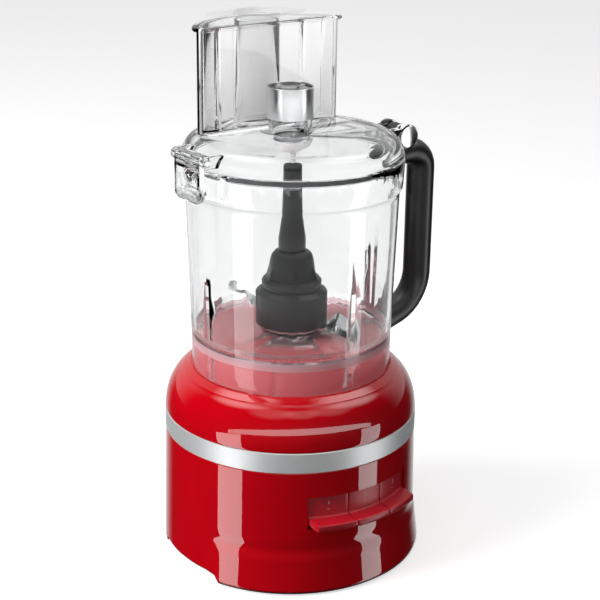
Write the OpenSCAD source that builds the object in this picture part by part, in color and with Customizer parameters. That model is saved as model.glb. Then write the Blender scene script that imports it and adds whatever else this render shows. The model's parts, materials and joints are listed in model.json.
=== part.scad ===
// Food processor: drum-shaped motor base, clear bowl with loop handle, hinged and latched clear lid
// with a wide feed tube, two nested pushers, and a removable S-blade on a tall drive stem.
// The drive axis is the Z axis, the table is z = 0, the paddle switches face -Y, the handle is at +X.

/* [Base] */
// Radius of the housing at the trim band
base_r = 103.2; // [98:0.2:108]
// How much wider the housing is at its foot than at the trim band, on the radius
draft = 2.2; // [1:0.1:4]
// How far the flared front of the foot stands out from the trim band
flare_w = 6.6; // [4:0.2:10]
// How far forward the round that trims the flare at both sides is shifted
flare_shift = 19.5; // [16:0.5:24]
// Height at which the flare starts
flare_z = 34; // [28:1:38]
// Height of the housing edge above the table
base_lift = 3.2; // [2:0.1:5]
// Wall of the painted housing
base_wall = 3; // [2.4:0.1:4]
// Height of the lower edge of the trim band
band_z = 104.6; // [100:0.2:112]
// Height of the trim band
band_h = 16.8; // [12:0.2:20]
// How far the trim band stands proud of the housing
band_proud = 0.3; // [0:0.1:1]
// Height from the trim band to the deck that carries the bowl
shoulder_h = 37.4; // [34:0.2:42]
// Width of the sloping deck edge outside the bowl
slope_w = 7.5; // [5:0.1:10]
// Height of the grip arch cut in each side of the foot
arch_h = 6.2; // [4:0.2:12]
// Half width of the grip arch
arch_half = 41; // [30:1:50]
// Number of feet
foot_count = 4; // [3:1:6]
// Radius of a rubber foot
foot_r = 11.5; // [8:0.5:14]
// Distance from the housing wall in to the edge of a foot
foot_in = 8.7; // [6:0.1:12]

/* [Paddle switches] */
// Width across the three paddles
paddles_w = 95.6; // [84:0.4:100]
// Gap between two paddles
paddle_gap = 0.8; // [0.6:0.1:1.5]
// Height of the underside of the paddle shelf
shelf_z = 60; // [56:0.5:66]
// Thickness of the paddle shelf
shelf_t = 4.4; // [3.5:0.1:6]
// Height of the paddle face above the shelf underside
paddle_h = 22.6; // [20:0.2:26]
// How far the shelf stands out from the trim band
shelf_out = 11.8; // [9:0.2:15]
// How far the paddle face is set back from the housing
paddle_inset = 2.4; // [1:0.1:4]
// Radius of the steel pin that the paddles turn on
paddle_pin_r = 1.5; // [1.2:0.1:2]
// Distance from the housing wall in to the paddle pin
paddle_pin_in = 22.2; // [21:0.2:24]

/* [Bowl] */
// Height of the skirt below the bowl floor
skirt_h = 22.7; // [18:0.1:26]
// Outer radius of the skirt
bowl_r = 81; // [79:0.1:83]
// Outer radius of the wall just below the ledge
bowl_top_r = 84.4; // [83:0.1:86]
// Outer radius at the rim
rim_r = 88.1; // [87:0.1:90]
// Wall of the bowl
bowl_wall = 2.8; // [2.2:0.1:3.4]
// Thickness of the bowl floor
floor_t = 3; // [2.4:0.1:4]
// Inside depth from floor to rim
bowl_depth = 146.6; // [130:0.2:165]
// Height of the widened collar below the rim
collar_h = 26.1; // [20:0.1:32]
// Radius of the fillet between floor and wall
floor_fillet = 8; // [4:0.5:10]
// Height of the chimney above the bowl floor
chimney_h = 50; // [44:0.5:54]
// Outer radius of the chimney
chimney_r = 12.4; // [11.6:0.1:13]
// Height of the four inner ribs
rib_h = 48; // [30:1:60]
// Number of inner ribs
rib_count = 4; // [3:1:6]

/* [Handle] */
// Distance of the grip centreline from the drive axis
grip_x = 132.8; // [128:0.2:140]
// Half thickness of the grip, in the plane of the loop
grip_a = 10.5; // [8:0.1:12]
// Half width of the grip, across the loop
grip_b = 13; // [10:0.1:15]
// Radius of the upper corner of the loop
grip_top_corner = 15; // [13:0.5:20]
// Radius of the lower bend of the loop
grip_low_bend = 36; // [28:0.5:40]

/* [Lid] */
// Height of the domed cover
dome_h = 16.1; // [12:0.1:20]
// Thickness of the cover
lid_wall = 2.6; // [2:0.1:3.2]
// Radius of the flat top of the cover
lid_flat_r = 75; // [74.6:0.1:76]
// Distance of the lid hinge from the drive axis
hinge_x = 106; // [103:0.2:109]
// Height of the lid hinge above the bowl rim
hinge_rise = 2.4; // [1.5:0.1:4]
// Radius of the hinge barrel
barrel_r = 10; // [8:0.2:11]
// Half length of the hinge barrel
barrel_half = 14.5; // [12:0.5:16]
// Radius of the steel hinge pin
hinge_pin_r = 2.5; // [2:0.1:3]

/* [Feed tube] */
// Height of the feed tube above the cover
tube_h = 82.3; // [60:0.1:95]
// Outer radius of the rear arc of the feed tube
tube_r = 74.5; // [70:0.1:74.6]
// Distance of the flat front wall from the drive axis
tube_front = 26.5; // [25:0.1:30]
// Corner radius of the feed tube
tube_corner = 7; // [6:0.1:10]
// Wall of the feed tube
tube_wall = 2.5; // [2:0.1:3]
// Overhang of the rolled lip
lip = 3.5; // [2:0.1:5]

/* [Pushers] */
// Side clearance of the large pusher
pusher_gap = 0.8; // [0.5:0.1:1.2]
// Wall of the pushers
pusher_wall = 1.8; // [1.4:0.1:2]
// Outer radius of the small pusher
small_r = 15.4; // [12:0.1:15.6]
// Outer radius of the small pusher head
head_r = 18.4; // [17:0.1:19]
// How far the small pusher head stands above the feed tube
head_rise = 5.5; // [4:0.1:8]
// Width of a flute in the front of the large pusher
flute_w = 14.8; // [8:0.2:18]
// Distance of a flute from the middle of the large pusher
flute_x = 40; // [36:0.5:44]

/* [Hub on the lid] */
// Outer radius of the polished sleeve
sleeve_r = 18.4; // [16:0.1:19]
// Height of the polished sleeve
sleeve_h = 24.5; // [18:0.1:30]
// Height of the clear turret below the sleeve
turret_h = 11.8; // [8:0.1:16]
// Offset of the turret towards the feed tube
turret_y = 4; // [0:0.1:5]
// Radius of the steel centre pin
hub_pin_r = 2.1; // [1.6:0.1:2.4]

/* [Latch] */
// Distance of the latch pivot from the drive axis
latch_x = 93.6; // [93:0.1:95]
// Half width of the latch
latch_half = 17.8; // [14:0.2:20]
// Length of the latch below its pivot
latch_drop = 32.4; // [30:0.2:36]
// Thickness of the latch plate
latch_t = 4.4; // [3.4:0.1:5]
// Radius of the latch pin
latch_pin_r = 1.6; // [1.2:0.1:2]

/* [Blade] */
// Radius of the hub drum
hub_r = 29; // [27:0.1:31]
// Height of the hub drum
hub_drum_h = 27; // [24:0.2:30]
// Radius to the blade tips
blade_tip_r = 73; // [60:0.5:74]
// Thickness of a blade
blade_t = 1.8; // [1.2:0.1:2.4]
// Width of a blade at its root
blade_root_w = 24; // [18:0.5:26]
// Steepest twist of a blade
blade_twist = 32; // [10:1:38]
// Height of the tall stem
stem_h = 69.7; // [60:0.1:76]

/* [Drive] */
// Radius of the drive shaft
shaft_r = 5; // [4:0.1:5.5]
// Radius of the large pulley
pulley_r = 34; // [28:0.5:40]
// Radius of the motor pulley
motor_pulley_r = 9; // [7:0.5:11]
// Free space on each side of the motor
motor_gap = 6.6; // [5:0.2:9]
// Length of the motor
motor_h = 62; // [50:1:66]
// Outer radius of a shaft bearing
bearing_r = 11; // [9:0.2:12]
// Width of a shaft bearing
bearing_h = 8; // [6:0.5:10]

/* [Hidden] */

$fn = 96;
eps = 0.01;
seat = 0.3;             // small gap between separately moving pieces that rest on each other
fit = 0.05;             // radial clearance of pieces pressed together in one body
run = 0.08;             // radial running clearance of a pin or shaft

red = [0.72, 0.05, 0.09];
clear = [0.85, 0.88, 0.9, 0.4];
black = [0.16, 0.16, 0.17];
steel = [0.75, 0.76, 0.78];
grey = [0.6, 0.62, 0.64];

// heights, from the table up
plate_z = base_lift + arch_h + 1.1;
plate_t = 3;
inside_z = plate_z + plate_t;
band_top = band_z + band_h;
deck_z = band_top + shoulder_h;
bowl_z = deck_z + 0.5;
under_z = bowl_z + skirt_h;
floor_z = under_z + floor_t;
rim_z = floor_z + bowl_depth;
ledge_z = rim_z - collar_h;
lid_z = rim_z + 0.5;
lid_top = lid_z + dome_h;
tube_top = lid_top + tube_h;
head_top = tube_top + head_rise;
hinge_z = rim_z + hinge_rise;
drum_top = under_z - 0.8;
chimney_top = floor_z + chimney_h;
chimney_bore = chimney_r - 2.6;
foot_h = plate_z - 2;

// radii
seal_r = 12;
skirt_in_r = base_r - base_wall;
foot_out_r = base_r + draft;
flare_r = base_r + flare_w;
trim_r = foot_out_r - 0.41 * flare_shift + 1.7;
shoulder_r = bowl_r + slope_w;
foot_ring_r = skirt_in_r - foot_in - foot_r;
screw_ring_r = skirt_in_r - 8.2;
spigot_r = skirt_in_r - seat;
drum_r = bowl_r - bowl_wall - 2.9;
rim_in_r = rim_r - bowl_wall - 0.1;
plug_r = rim_in_r - 1.4;

// blade stack
hub_z = floor_z + 7;
drum_hub_top = hub_z + hub_drum_h;
flange_z = drum_hub_top + 4.2;
dome_z = flange_z + 8.6;
hub_top = dome_z + 21;
stem_top = hub_top + stem_h;
hub_cavity_r = chimney_r + 1;
hex_r = 8.4;
hex_z = chimney_top + 2;
hex_top = hub_top - 2.6;
upper_z = hub_z + 13;
blade_angle = -52;
upper_angle = blade_angle + 180;
tongue_w = blade_root_w - 4;

// latch
pivot_z = lid_z + 8.9;
catch_z = pivot_z - 27;
pad_r = rim_r + 2;
bead_r = rim_r + 2.9;
nose_x = bead_r + 0.6;
cone_top = lid_top - lid_wall - 4;

// handle
ear_half = 5.6;
pad_x = rim_r + 1.5;
low_pad_x = bowl_r + 3.4;

// paddles
shelf_r = base_r + shelf_out;
paddle_pin_y = base_r - paddle_pin_in;
slot_half = paddles_w / 2 + 1.2;
paddle_w = (paddles_w - 2 * paddle_gap) / 3;
paddle_face_r = base_r + 0.6 - paddle_inset;
paddle_back_r = paddle_face_r - 3;
paddle_pin_z = shelf_z + 18;
slot_lo = shelf_z - 2.3;
slot_hi = shelf_z + paddle_h + 1;
striker_y = paddle_pin_y + 1.5;
striker_travel = (paddle_pin_z - shelf_z - 1) * sin(5);
pin_half = paddles_w / 2 + 3.4;
frame_y = paddle_pin_y - 6;
board_w = paddles_w - 3.6;

// feed tube outline
corner_y = tube_front + tube_corner;
corner_x = sqrt(pow(tube_r - tube_corner, 2) - pow(corner_y, 2));
pusher_in = tube_wall + pusher_gap;
well_y = (tube_front + tube_r) / 2;
well_r = small_r + 0.5;
pusher_z = lid_top + 2;
pusher_top = tube_top - 1;
cap_t = 1.8;
head_z = pusher_top + cap_t + 0.4;

// motor and drive
pulley_z = inside_z + 4;
pulley_h = 10;
gland_z = pulley_z + pulley_h / 2 + 1;
housing_r = bearing_r + 4;
housing_screw_r = housing_r + 7;
motor_r = (skirt_in_r - housing_r) / 2 - motor_gap;
motor_y = housing_r + motor_gap + motor_r - 3.6;
motor_z = pulley_z + pulley_h + 5;
motor_top = motor_z + motor_h;
housing_top = drum_top - base_wall;
housing_z = motor_z + 6;
lower_bearing_z = housing_z + 2;
upper_bearing_z = housing_top - 14;
motor_shaft_r = 4;
stator_r = motor_r - 1.6;
rotor_r = stator_r - 13;
bush_h = 6;
stator_z = motor_z + bush_h + 8;
stator_h = motor_h - 34;
fan_z = stator_z + stator_h + 6;
switch_angle = 230;

function arc(c, rx, ry, a0, a1, n) =
    [for (i = [0 : n]) let (a = a0 + (a1 - a0) * i / n) [c[0] + rx * cos(a), c[1] + ry * sin(a)]];
function bezier(p, q, r, n) =
    [for (i = [0 : n]) let (t = i / n) pow(1 - t, 2) * p + 2 * t * (1 - t) * q + t * t * r];

// a tube or ring: outer radius, inner radius, bottom and height
module ring(ro, ri, z, h) {
    translate([0, 0, z]) difference() {
        cylinder(r = ro, h = h);
        translate([0, 0, -eps]) cylinder(r = ri, h = h + 2 * eps);
    }
}

// a rod along Y through (x, z)
module rod_y(r, half, x, z) {
    translate([x, half, z]) rotate([90, 0, 0]) cylinder(r = r, h = 2 * half);
}

// a rod along X at (y, z), from x0 to x1
module rod_x(r, x0, x1, y, z) {
    translate([x0, y, z]) rotate([0, 90, 0]) cylinder(r = r, h = x1 - x0);
}

module at_ring(count, radius, first = 0) {
    for (i = [0 : count - 1]) rotate([0, 0, first + i * 360 / count]) translate([radius, 0, 0]) children();
}

// ---------------------------------------------------------------- base housing

function shoulder(inset) = arc([shoulder_r - 10.5, band_top], base_r - shoulder_r + 10.5 - inset,
    shoulder_h - 1.1 - inset, 0, 65.4, 14);

// the housing wall down to the table, drawn inwards by inset
module skirt_wall(inset) {
    rotate_extrude() polygon([[0, base_lift - inset], [foot_out_r - 0.8 - inset, base_lift - inset],
        [foot_out_r - inset, base_lift + 0.8 - inset], [base_r - inset, band_z + inset], [0, band_z + inset]]);
}

// the flare at the front: a wider ring, trimmed at both sides by a round that is shifted forward
module skirt_flare(inset) {
    intersection() {
        rotate_extrude() polygon([[base_r - 9, base_lift - inset], [flare_r - 1.6 - inset, base_lift - inset],
            [flare_r - 0.4 - inset, base_lift + 0.7], [flare_r - inset, base_lift + 2.2],
            [base_r + 3 - inset, flare_z - 4.5], [base_r + 2.5 - inset, flare_z],
            [base_r + 1 - inset, flare_z + 2.5 + inset / 2], [base_r - 9, flare_z + 2.5 + inset / 2]]);
        translate([0, -flare_shift, 0]) cylinder(r = trim_r - inset, h = band_z);
    }
}

module base_skirt() {
    color(red) {
        difference() {
            union() {
                skirt_wall(0);
                skirt_flare(0);
            }
            skirt_wall(base_wall);
            skirt_flare(base_wall);
            translate([-slot_half, -base_r - 20, slot_lo])
                cube([2 * slot_half, base_r + 22 - sqrt(pow(skirt_in_r, 2) - pow(slot_half, 2)), slot_hi - slot_lo]);
            for (side = [0, 180]) rotate([0, 0, side]) translate([base_r - 30, 0, base_lift])
                rotate([90, 0, 90]) linear_extrude(50) arch_outline();
            translate([0, base_r + 6, gland_z]) rotate([90, 0, 0]) cylinder(r = 7, h = 20);
        }
        difference() {
            at_ring(4, 0, 45) screw_boss();
            plate_screws(0.1);
        }
    }
}

// raised edge between the feet, with sloping ends
module arch_outline() {
    polygon(concat([[-arch_half - 1.5, -1]],
        [for (i = [-6 : 6]) [i / 6 * (arch_half - 4), arch_h * (1 - 0.12 * pow(i / 6, 2))]],
        [[arch_half + 1.5, -1]]));
}

module screw_boss() {
    translate([screw_ring_r, 0, inside_z]) cylinder(r = 5, h = 32);
    translate([screw_ring_r, -2, inside_z]) cube([base_r - screw_ring_r, 4, 32]);
}

module plate_screws(gap) {
    at_ring(4, screw_ring_r, 45) {
        translate([0, 0, plate_z + plate_t / 2]) cylinder(r = 2 + gap, h = 24 + gap);
        translate([0, 0, plate_z - 1 - gap]) cylinder(r = 4 + gap, h = 1 + plate_t / 2 + gap + eps);
    }
}

module base_screws() {
    color(steel) plate_screws(0);
}

module base_top() {
    color(red) difference() {
        rotate_extrude() polygon(concat(
            [[spigot_r - 2.5, band_z - 8], [spigot_r, band_z - 8], [spigot_r, band_top]],
            shoulder(0),
            [[shoulder_r - 3.6, deck_z - 2.6], [shoulder_r - 6, deck_z - 0.4], [bowl_r + 1, deck_z],
             [drum_r, deck_z], [drum_r, drum_top - 3]],
            arc([drum_r - 3, drum_top - 3], 3, 3, 0, 90, 5),
            [[seal_r, drum_top], [seal_r, housing_top], [drum_r - base_wall, housing_top],
             [drum_r - base_wall, deck_z - base_wall], [shoulder_r - 6, deck_z - base_wall]],
            reverse(shoulder(base_wall)),
            [[spigot_r - 2.5, band_top]]));
        for (a = [0 : 90 : 270]) rotate([0, 0, a + 45]) translate([housing_screw_r, 0, housing_top - eps])
            cylinder(r = 1.5 + fit, h = 1.8);
        at_switch() translate([0, 0, deck_z - base_wall - eps]) cylinder(r = 2.2, h = base_wall + 1);
    }
}

function reverse(list) = [for (i = [len(list) - 1 : -1 : 0]) list[i]];

// triangles of a closed tube of rings; each ring has sides points and turns against the clock about the path
function tube_faces(sides, last) = concat(
    [[for (j = [0 : sides - 1]) j]],
    [for (k = [0 : last - 1]) for (j = [0 : sides - 1]) for (f = [0, 1])
        let (a = k * sides + j, b = k * sides + (j + 1) % sides)
        f == 0 ? [a, a + sides, b + sides] : [a, b + sides, b]],
    [[for (j = [sides - 1 : -1 : 0]) last * sides + j]]);
module trim_band() {
    color(steel) rotate_extrude() polygon([[skirt_in_r, band_z], [base_r - 0.2, band_z],
        [base_r + band_proud, band_z + 0.6], [base_r + band_proud, band_top - 0.6],
        [base_r - 0.2, band_top], [skirt_in_r, band_top]]);
}

module base_plate() {
    color(black) difference() {
        union() {
            translate([0, 0, plate_z]) cylinder(r = skirt_in_r + 0.6, h = plate_t);
            at_ring(foot_count, foot_ring_r, 45) translate([0, 0, foot_r / 2]) cylinder(r = foot_r + 2,
                h = plate_z - foot_r / 2 + eps);
        }
        plate_screws(0.1);
        at_ring(foot_count, foot_ring_r, 45) translate([0, 0, -eps]) cylinder(r = foot_r + fit, h = foot_h + eps);
        for (i = [-3 : 3]) translate([i * 9 - 2, -38, plate_z - 1]) cube([4, 30, plate_t + 2]);
        for (i = [0 : 2]) at_ring(3, 20, 30) translate([0, 0, plate_z + 1]) cylinder(r = 2.5 + fit, h = plate_t);
    }
}

module rubber_feet() {
    color(black) at_ring(foot_count, foot_ring_r, 45) rotate_extrude() polygon([[0, 0], [foot_r - 1.2, 0],
        [foot_r, 1.2], [foot_r, foot_h], [0, foot_h]]);
}

module cord_gland() {
    color(black) translate([0, base_r + 3.4, gland_z]) rotate([90, 0, 0]) rotate_extrude() polygon([
        [3.6, 0], [8.6, 0], [9, 0.4], [9, 1.2], [6.9, 1.2], [6.9, 8], [3.6, 8]]);
}

// ---------------------------------------------------------------- drive

module shaft_housing() {
    color(grey) difference() {
        union() {
            translate([0, 0, housing_z]) cylinder(r = housing_r, h = housing_top - housing_z);
            translate([0, 0, housing_top - 4]) cylinder(r = housing_screw_r + 6, h = 4);
            for (a = [0 : 90 : 270]) rotate([0, 0, a]) translate([0, -1.5, housing_top - 34]) rotate([90, 0, 90])
                linear_extrude(27) polygon([[0, 30], [3, 30], [3, 0], [0, 0]]);
        }
        for (a = [0 : 90 : 270]) rotate([0, 0, a + 45]) translate([housing_screw_r, 0, housing_top - 5]) cylinder(r = 1.6, h = 6);
        translate([0, 0, housing_z - 1]) cylinder(r = shaft_r + 2, h = housing_top);
        translate([0, 0, housing_z - 1]) cylinder(r = bearing_r + fit, h = bearing_h + 3);
        translate([0, 0, upper_bearing_z]) cylinder(r = bearing_r + fit, h = 40);
    }
}

module housing_screws() {
    color(steel) for (a = [0 : 90 : 270]) rotate([0, 0, a + 45]) translate([housing_screw_r, 0, 0]) {
        translate([0, 0, housing_top - 4]) cylinder(r = 1.5, h = 5.6);
        translate([0, 0, housing_top - 6]) cylinder(r = 3, h = 2);
    }
}

// ball bearing: outer race, inner race and a shield between them
module bearing(z) {
    ring(bearing_r, bearing_r - 2, z, bearing_h);
    ring(shaft_r + 2, shaft_r + run, z, bearing_h);
    ring(bearing_r - 2, shaft_r + 2, z + 1, bearing_h - 2);
}

module upper_bearing() {
    color(steel) bearing(upper_bearing_z);
}

module lower_bearing() {
    color(steel) bearing(lower_bearing_z);
}

module shaft_seal() {
    color(black) rotate_extrude() polygon([[shaft_r + run, drum_top - 0.6], [shaft_r + 1.6, drum_top - 2.9],
        [seal_r - fit, drum_top - 2.9], [seal_r - fit, drum_top - 0.1], [8.4, drum_top],
        [shaft_r + 1.6, drum_top + 2.4], [shaft_r + run, drum_top + 2.6]]);
}

module drive_shaft() {
    color(steel) difference() {
        union() {
            translate([0, 0, pulley_z - 2]) cylinder(r = shaft_r, h = hex_top - pulley_z + 2);
            translate([0, 0, housing_z - 1.6]) cylinder(r = shaft_r + 2.4, h = 1.2);
        }
        translate([0, 0, hex_top - 6]) cylinder(r = 1.6, h = 10);
    }
}

module drive_hex() {
    color(black) difference() {
        translate([0, 0, hex_z]) cylinder(r = hex_r, h = hex_top - hex_z, $fn = 6);
        translate([0, 0, hex_z - 1]) cylinder(r = shaft_r + fit, h = hex_top);
    }
}

// flat-belt pulley with two flanges
module pulley(r, bore, z, h) {
    translate([0, 0, z]) rotate_extrude() polygon([[bore, 0], [r + 1.6, 0], [r + 1.6, 1], [r, 1.6],
        [r, h - 1.6], [r + 1.6, h - 1], [r + 1.6, h], [bore, h]]);
}

module large_pulley() {
    color(grey) difference() {
        pulley(pulley_r, shaft_r + fit, pulley_z, pulley_h);
        translate([0, 0, pulley_z + 2]) difference() {
            cylinder(r = pulley_r - 3, h = pulley_h);
            cylinder(r = shaft_r + 4, h = pulley_h);
        }
        at_ring(5, (pulley_r + shaft_r) / 2) translate([0, 0, pulley_z - 1]) cylinder(r = 6, h = 4);
    }
}

module at_motor() {
    translate([0, motor_y, 0]) children();
}

module motor_pulley() {
    color(grey) at_motor() pulley(motor_pulley_r, motor_shaft_r + fit, pulley_z, pulley_h);
}

// belt loop round both pulleys
module drive_belt() {
    color(black) translate([0, 0, pulley_z + 2]) linear_extrude(pulley_h - 4) difference() {
        belt_line(seat + 1.4);
        belt_line(seat);
    }
}

module belt_line(gap) {
    hull() {
        circle(r = pulley_r + gap, $fn = 90);
        translate([0, motor_y]) circle(r = motor_pulley_r + gap, $fn = 48);
    }
}

module motor_can() {
    color(grey) at_motor() difference() {
        union() {
            ring(motor_r, stator_r + fit, motor_z, motor_h);
            ring(motor_r - 1, motor_shaft_r + 3, motor_z, 3);
            ring(motor_r - 1, motor_shaft_r + 3, motor_top - 3, 3);
            ring(motor_shaft_r + 6, motor_shaft_r + 3, motor_z, bush_h + 1);
            ring(motor_shaft_r + 6, motor_shaft_r + 3, motor_top - bush_h - 1, bush_h + 1);
        }
        at_ring(6, motor_r * 0.55) translate([0, 0, motor_z - 1]) cylinder(r = 5, h = 5);
        at_ring(6, motor_r * 0.55) translate([0, 0, motor_top - 4]) cylinder(r = 5, h = 5);
    }
}

module motor_stator() {
    color([0.45, 0.3, 0.2]) at_motor() {
        difference() {
            translate([0, 0, stator_z]) cylinder(r = stator_r, h = stator_h);
            translate([0, 0, stator_z - 1]) cylinder(r = rotor_r + 0.6, h = stator_h + 2);
            at_ring(8, rotor_r + 4) translate([0, 0, stator_z - 1]) cylinder(r = 2.4, h = stator_h + 2);
        }
        for (z = [stator_z - 5, stator_z + stator_h]) ring(stator_r - 3, rotor_r + 3, z, 5);
    }
}

module motor_bushes() {
    color([0.7, 0.55, 0.3]) at_motor() for (z = [motor_z, motor_top - bush_h])
        ring(motor_shaft_r + 3 - fit, motor_shaft_r + run, z, bush_h);
}

module motor_shaft() {
    color(steel) at_motor() translate([0, 0, pulley_z]) cylinder(r = motor_shaft_r, h = motor_top + 3 - pulley_z);
}

module motor_rotor() {
    color(grey) at_motor() difference() {
        translate([0, 0, stator_z]) cylinder(r = rotor_r, h = stator_h);
        translate([0, 0, stator_z - 1]) cylinder(r = motor_shaft_r + fit, h = stator_h + 2);
        at_ring(12, rotor_r - 1) translate([0, 0, stator_z - 1]) cylinder(r = 1.2, h = stator_h + 2);
    }
}

module cooling_fan() {
    color(black) at_motor() translate([0, 0, fan_z]) difference() {
        union() {
            cylinder(r = 7, h = 2.6);
            cylinder(r = stator_r - 6, h = 1.4);
            at_ring(10, 0) translate([8, -0.6, 1]) cube([stator_r - 15, 1.2, 5]);
        }
        translate([0, 0, -1]) cylinder(r = motor_shaft_r + fit, h = 8);
    }
}

// plate under the motor on three pillars from the bottom cover
module motor_bracket() {
    color(grey) {
        difference() {
            at_motor() translate([0, 0, motor_z - 2.6]) cylinder(r = motor_r - 2, h = 2.6 - eps);
            at_motor() translate([0, 0, motor_z - 4]) cylinder(r = motor_shaft_r + 8, h = 6);
            translate([0, 0, motor_z - 4]) cylinder(r = housing_r + 3, h = 6);
        }
        at_motor() for (a = [20, 90, 160]) rotate([0, 0, a]) translate([motor_r - 6, 0, inside_z])
            cylinder(r = 3.6, h = motor_z - inside_z - 2);
    }
}

// ---------------------------------------------------------------- switches

module slice(index) {
    intersection() {
        children();
        translate([(index - 1) * (paddle_w + paddle_gap) - paddle_w / 2, -150, 0]) cube([paddle_w, 150, 150]);
    }
}

module paddle(index) {
    mid = (index - 1) * (paddle_w + paddle_gap);
    color(red) difference() {
        union() {
            slice(index) rotate_extrude() polygon([
                [paddle_back_r, shelf_z], [shelf_r - 0.8, shelf_z], [shelf_r, shelf_z + 0.8],
                [shelf_r - 0.3, shelf_z + shelf_t - 0.5], [shelf_r - 0.9, shelf_z + shelf_t],
                [paddle_face_r + 1.2, shelf_z + shelf_t + 0.6], [paddle_face_r, shelf_z + shelf_t + 1.8],
                [paddle_face_r, shelf_z + paddle_h - 0.5], [paddle_face_r - 0.5, shelf_z + paddle_h],
                [paddle_back_r, shelf_z + paddle_h]]);
            for (x = [mid - 11, mid + 8]) {
                intersection() {
                    translate([x, -paddle_back_r - 1, paddle_pin_z - 3.8])
                        cube([3, paddle_back_r + 1 - paddle_pin_y, 7.6]);
                    cylinder(r = paddle_back_r + 1, h = 150);
                }
                rod_x(3.8, x, x + 3, -paddle_pin_y, paddle_pin_z);
            }
            intersection() {
                translate([mid - 2, -paddle_back_r - 1, shelf_z + 1]) cube([4, paddle_back_r + 1 - striker_y, 5]);
                cylinder(r = paddle_back_r + 1, h = 150);
            }
        }
        rod_x(paddle_pin_r + run, -60, 60, -paddle_pin_y, paddle_pin_z);
    }
}

module paddle_low() { paddle(0); }
module paddle_high() { paddle(1); }
module paddle_pulse() { paddle(2); }

module paddle_pin() {
    color(steel) rod_x(paddle_pin_r, -pin_half, pin_half, -paddle_pin_y, paddle_pin_z);
}

// bracket behind the paddles: two cheeks hold the pin, the back wall carries the board
module paddle_frame() {
    color(black) difference() {
        union() {
            for (x = [-pin_half, pin_half - 2.8]) translate([x, -paddle_pin_y - 4, shelf_z - 4])
                cube([2.8, 12, 28]);
            translate([-pin_half, -frame_y, shelf_z - 4]) cube([2 * pin_half, 2, 4]);
            translate([-pin_half, -frame_y, shelf_z + 20]) cube([2 * pin_half, 2, 4]);
            for (x = [-board_w / 2, board_w / 2 - 6]) translate([x, -frame_y, inside_z])
                cube([6, 2, shelf_z + 24 - inside_z]);
        }
        rod_x(paddle_pin_r + fit, -70, 70, -paddle_pin_y, paddle_pin_z);
    }
}

module control_board() {
    color([0.1, 0.4, 0.2]) {
        translate([-board_w / 2, -frame_y + 2, inside_z + 14]) cube([board_w, 1.6, shelf_z + 24 - inside_z - 14]);
        for (x = [-30, -12, 8]) translate([x, -frame_y + 3.6, inside_z + 44]) cube([12, 9, 16]);
        for (x = [-36, -20]) translate([x, -frame_y + 13.6, inside_z + 26]) rotate([90, 0, 0])
            cylinder(r = 6, h = 10 + eps);
    }
}

module button_switches() {
    color(steel) for (i = [-1 : 1]) translate([i * (paddle_w + paddle_gap), 0, shelf_z + 3.5]) {
        translate([-3, -frame_y - 2, -3]) cube([6, 4, 6]);
        translate([0, -frame_y, 0]) rotate([90, 0, 0]) cylinder(r = 1.6, h = striker_y - striker_travel - seat - frame_y);
    }
}

module at_switch() {
    rotate([0, 0, switch_angle]) translate([bowl_r - 2, 0, 0]) children();
}

// microswitch under the deck, its plunger is pressed by the seated bowl
module bowl_switch() {
    color(black) at_switch() {
        translate([-3, -5, deck_z - base_wall - 9]) cube([6, 10, 9 - eps]);
        translate([0, 0, deck_z - base_wall - 1]) cylinder(r = 2, h = base_wall + 1);
    }
}

// ---------------------------------------------------------------- bowl

module work_bowl() {
    color(clear) {
        rotate_extrude() polygon(concat(
            [[bowl_r - 2.2, bowl_z], [bowl_r - 0.4, bowl_z], [bowl_r - 0.1, bowl_z + 0.6],
             [bowl_r, under_z], [bowl_top_r, ledge_z - 4], [bowl_top_r + 0.2, ledge_z],
             [rim_r - 1.6, ledge_z + 2.2], [rim_r - 1.2, ledge_z + 3.4],
             [rim_r, rim_z - 1], [rim_r - 0.8, rim_z], [rim_in_r + 0.8, rim_z], [rim_in_r, rim_z - 1],
             [rim_r - 1.3 - bowl_wall, ledge_z + 4], [bowl_top_r - bowl_wall + 0.2, ledge_z - 0.6],
             [bowl_top_r - bowl_wall, ledge_z - 5]],
            arc([bowl_r - bowl_wall + 0.4 - floor_fillet, floor_z + floor_fillet],
                floor_fillet, floor_fillet, 0, -90, 8),
            [[chimney_r + 1.2, floor_z], [chimney_r, floor_z + 1.2], [chimney_r - 0.5, chimney_top - 0.8],
             [chimney_r - 1.3, chimney_top], [chimney_bore, chimney_top], [chimney_bore, under_z],
             [bowl_r - bowl_wall, under_z], [bowl_r - bowl_wall, bowl_z + 0.6]]));
        for (i = [0 : rib_count - 1]) rotate([0, 0, i * 360 / rib_count]) {
            translate([bowl_r - bowl_wall - 2.6, -2, floor_z + 5]) cube([bowl_wall + 2.1, 4, rib_h]);
            for (y = [-3.6, 2.6]) translate([bowl_r - bowl_wall - 1.4, y, bowl_z + 0.5])
                cube([2, 1, skirt_h]);
            translate([bowl_r - 1.3, 0, bowl_z + 7]) sphere(r = 2.4, $fn = 32);
            rotate([0, 0, 45]) translate([bowl_r - bowl_wall - 1.2, -1.3, bowl_z + 0.5])
                cube([2, 2.6, skirt_h]);
        }
        handle_pads();
        intersection() {
            ring(pad_r, rim_r - 1.5, ledge_z + 5, collar_h - 6);
            translate([-100, -28, 0]) cube([60, 56, 400]);
        }
        intersection() {
            ring(bead_r, pad_r - 0.5, catch_z, 3);
            translate([-100, -12, 0]) cube([60, 24, 400]);
        }
    }
}

module handle_pads() {
    translate([rim_r - 2.5, -12, ledge_z + 3.2]) cube([pad_x - rim_r + 2.5, 24, collar_h - 7.2]);
    translate([bowl_r - 1.4, -11, bowl_z + 1]) cube([low_pad_x - bowl_r + 1.4, 22, 26]);
}

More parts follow.
